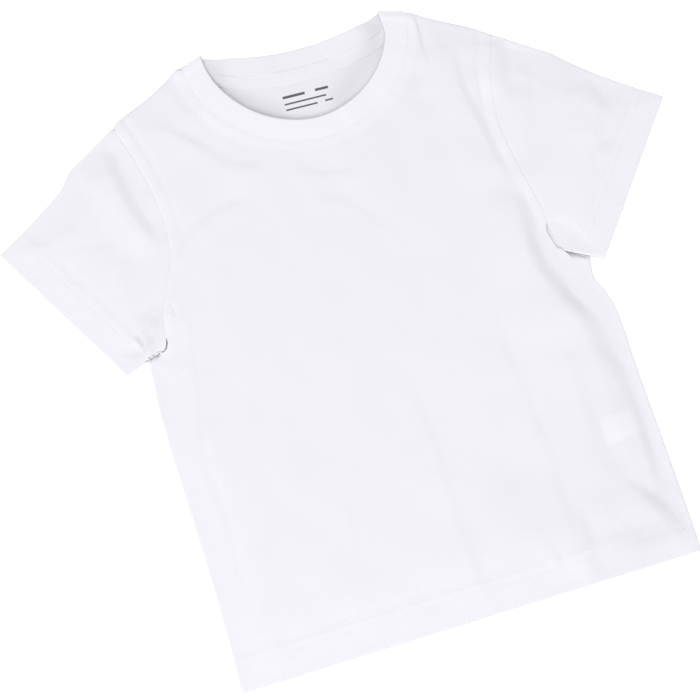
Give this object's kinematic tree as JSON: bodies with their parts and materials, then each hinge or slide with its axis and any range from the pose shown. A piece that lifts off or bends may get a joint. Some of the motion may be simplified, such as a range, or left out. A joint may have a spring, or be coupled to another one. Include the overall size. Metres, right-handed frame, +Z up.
{
  "type": "crew neck t-shirt",
  "caption": "Child's plain white crew neck t-shirt with set-in short sleeves and a rib collar, laid flat face up.",
  "frame": {"origin": "on the surface that the shirt lies on, under the middle of its outline", "axes": "+X across the shirt towards the wearer's left sleeve, +Y from the hem to the neck, +Z up through the layers"},
  "size_m": [0.4982, 0.4631, 0.0077],
  "materials": {
    "jersey": "matte white cotton jersey",
    "rib": "matte white cotton rib",
    "tape": "matte white jersey tape",
    "label": "white woven satin"
  },
  "bodies": {
    "root": {"front": "jersey", "back": "jersey", "left_sleeve": "jersey", "right_sleeve": "jersey", "collar": "rib", "neck_tape": "tape", "care_label": "label"}
  },
  "joints": []
}
